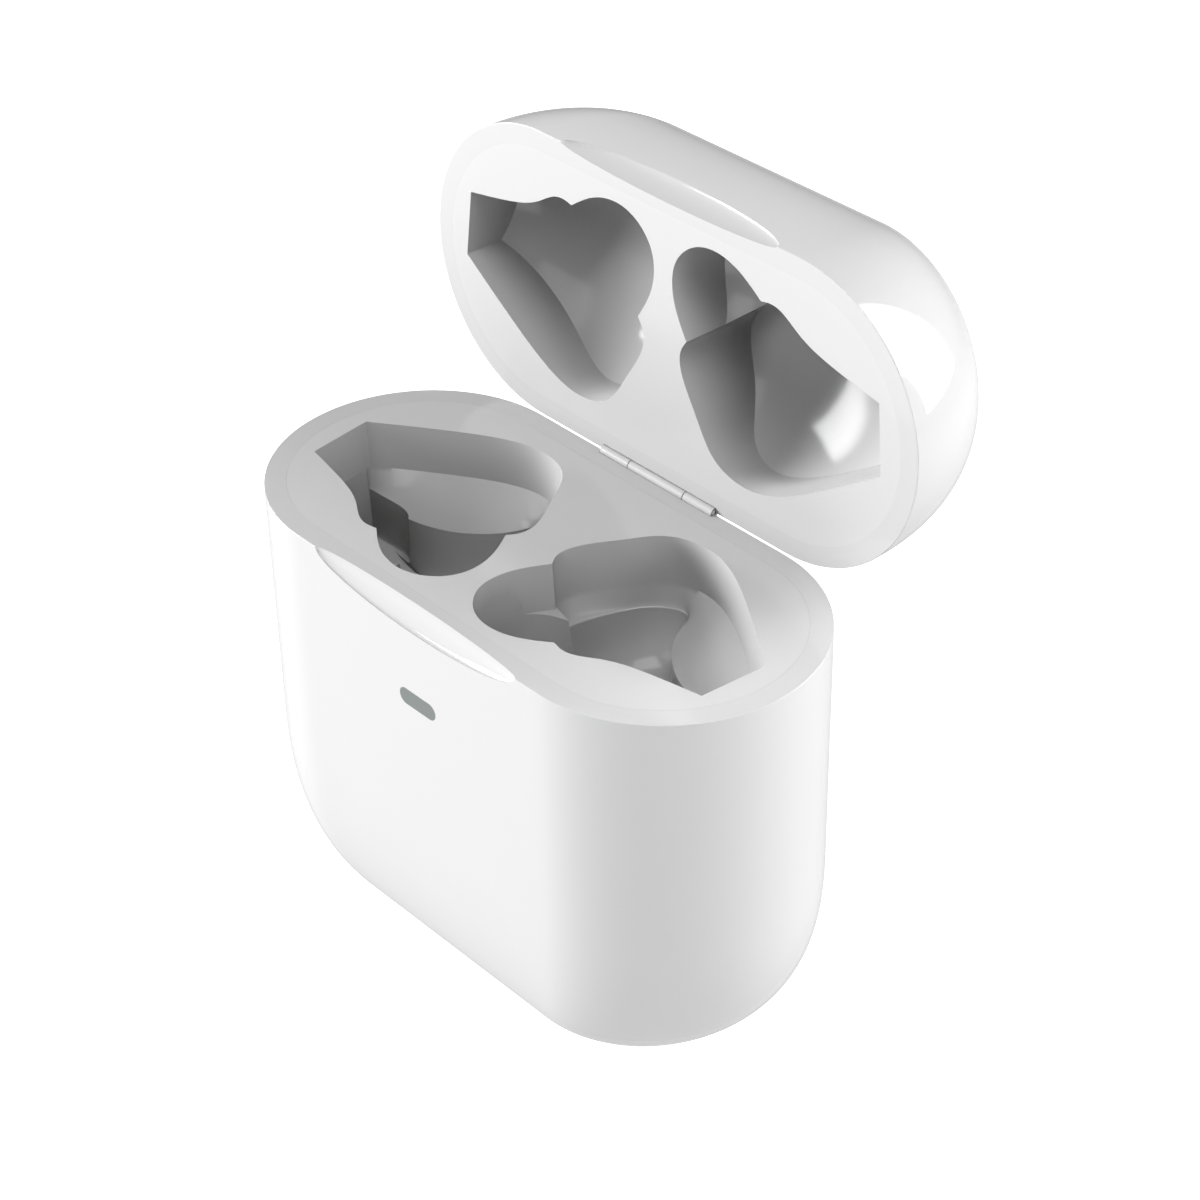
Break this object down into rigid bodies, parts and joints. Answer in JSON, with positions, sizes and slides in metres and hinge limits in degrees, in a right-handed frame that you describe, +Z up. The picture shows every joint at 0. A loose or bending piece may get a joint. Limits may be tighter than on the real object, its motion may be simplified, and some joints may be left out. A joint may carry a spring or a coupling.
{
  "type": "wireless earbuds case",
  "caption": "Pocket-size rounded charging case for stem-type wireless earbuds, with a hinged lid, moulded pockets, sprung charging contacts, rear port and pairing button.",
  "frame": {"origin": "centre of the flat bottom that the case stands on", "axes": "+Z up, front with the thumb notch towards -Y, lid hinge along X at the rear (+Y); the lid stands open"},
  "size_m": [0.06, 0.0445, 0.0706],
  "materials": {
    "white_shell": "polished white ABS and polycarbonate",
    "white_inner": "satin-gloss white plastic",
    "hinge_paint": "steel painted white",
    "steel": "stainless steel",
    "gold": "gold-plated brass",
    "grey_lens": "translucent grey light window",
    "led": "light-emitting diode package",
    "circuit_board": "green solder mask",
    "flex": "amber polyimide",
    "black_plastic": "black moulded plastic",
    "frame_plastic": "off-white moulded plastic",
    "battery_foil": "aluminium laminate pouch",
    "battery_tape": "foam tape",
    "lead_insulation": "silicone insulation",
    "magnet": "nickel-plated magnet"
  },
  "bodies": {
    "base": {"base_closure_magnets": "magnet", "base_hinge_screws": "steel", "base_shell": "white_shell", "battery_cell": "battery_foil", "battery_connector": "frame_plastic", "battery_leads": "lead_insulation", "battery_tape": "battery_tape", "battery_tray": "frame_plastic", "board_chips": "black_plastic", "board_screws": "steel", "button_switch": "black_plastic", "contact_barrels": "gold", "contact_flex": "flex", "contact_spring_left_front": "steel", "contact_spring_left_rear": "steel", "contact_spring_right_front": "steel", "contact_spring_right_rear": "steel", "earbud_magnets": "magnet", "hall_sensor": "black_plastic", "hinge_base_leaf": "hinge_paint", "hinge_pin": "steel", "indicator_lens": "grey_lens", "inner_cradle": "white_inner", "led_flex": "flex", "main_board": "circuit_board", "port_bezel": "steel", "side_board": "circuit_board", "status_led": "led", "usb_c_shell": "steel", "usb_c_tongue": "black_plastic"},
    "lid": {"lid_shell": "white_shell", "lid_liner": "white_inner", "hinge_lid_leaf": "hinge_paint", "lid_hinge_screws": "steel", "lid_closure_magnets": "magnet", "lid_sensor_magnet": "magnet"},
    "button": {"pairing_button": "white_shell", "switch_plunger": "black_plastic"},
    "pin_left_front": {"contact_pin_left_front": "gold"},
    "pin_left_rear": {"contact_pin_left_rear": "gold"},
    "pin_right_front": {"contact_pin_right_front": "gold"},
    "pin_right_rear": {"contact_pin_right_rear": "gold"}
  },
  "joints": [
    {"name": "lid_hinge", "type": "hinge", "parent": "base", "child": "lid", "pos_m": [0, 0.0143, 0.04197], "axis": [1, 0, 0], "range_deg": [0, 91.65]},
    {"name": "button_press", "type": "slide", "parent": "base", "child": "button", "axis": [0, -1, 0], "range_m": [0, 0.00035], "stiffness_N_per_m": 1500},
    {"name": "pin_left_front_press", "type": "slide", "parent": "base", "child": "pin_left_front", "axis": [0, 0, -1], "range_m": [0, 0.0006], "stiffness_N_per_m": 1000, "deforming": ["contact_spring_left_front"]},
    {"name": "pin_left_rear_press", "type": "slide", "parent": "base", "child": "pin_left_rear", "axis": [0, 0, -1], "range_m": [0, 0.0006], "stiffness_N_per_m": 1000, "deforming": ["contact_spring_left_rear"]},
    {"name": "pin_right_front_press", "type": "slide", "parent": "base", "child": "pin_right_front", "axis": [0, 0, -1], "range_m": [0, 0.0006], "stiffness_N_per_m": 1000, "deforming": ["contact_spring_right_front"]},
    {"name": "pin_right_rear_press", "type": "slide", "parent": "base", "child": "pin_right_rear", "axis": [0, 0, -1], "range_m": [0, 0.0006], "stiffness_N_per_m": 1000, "deforming": ["contact_spring_right_rear"]}
  ]
}
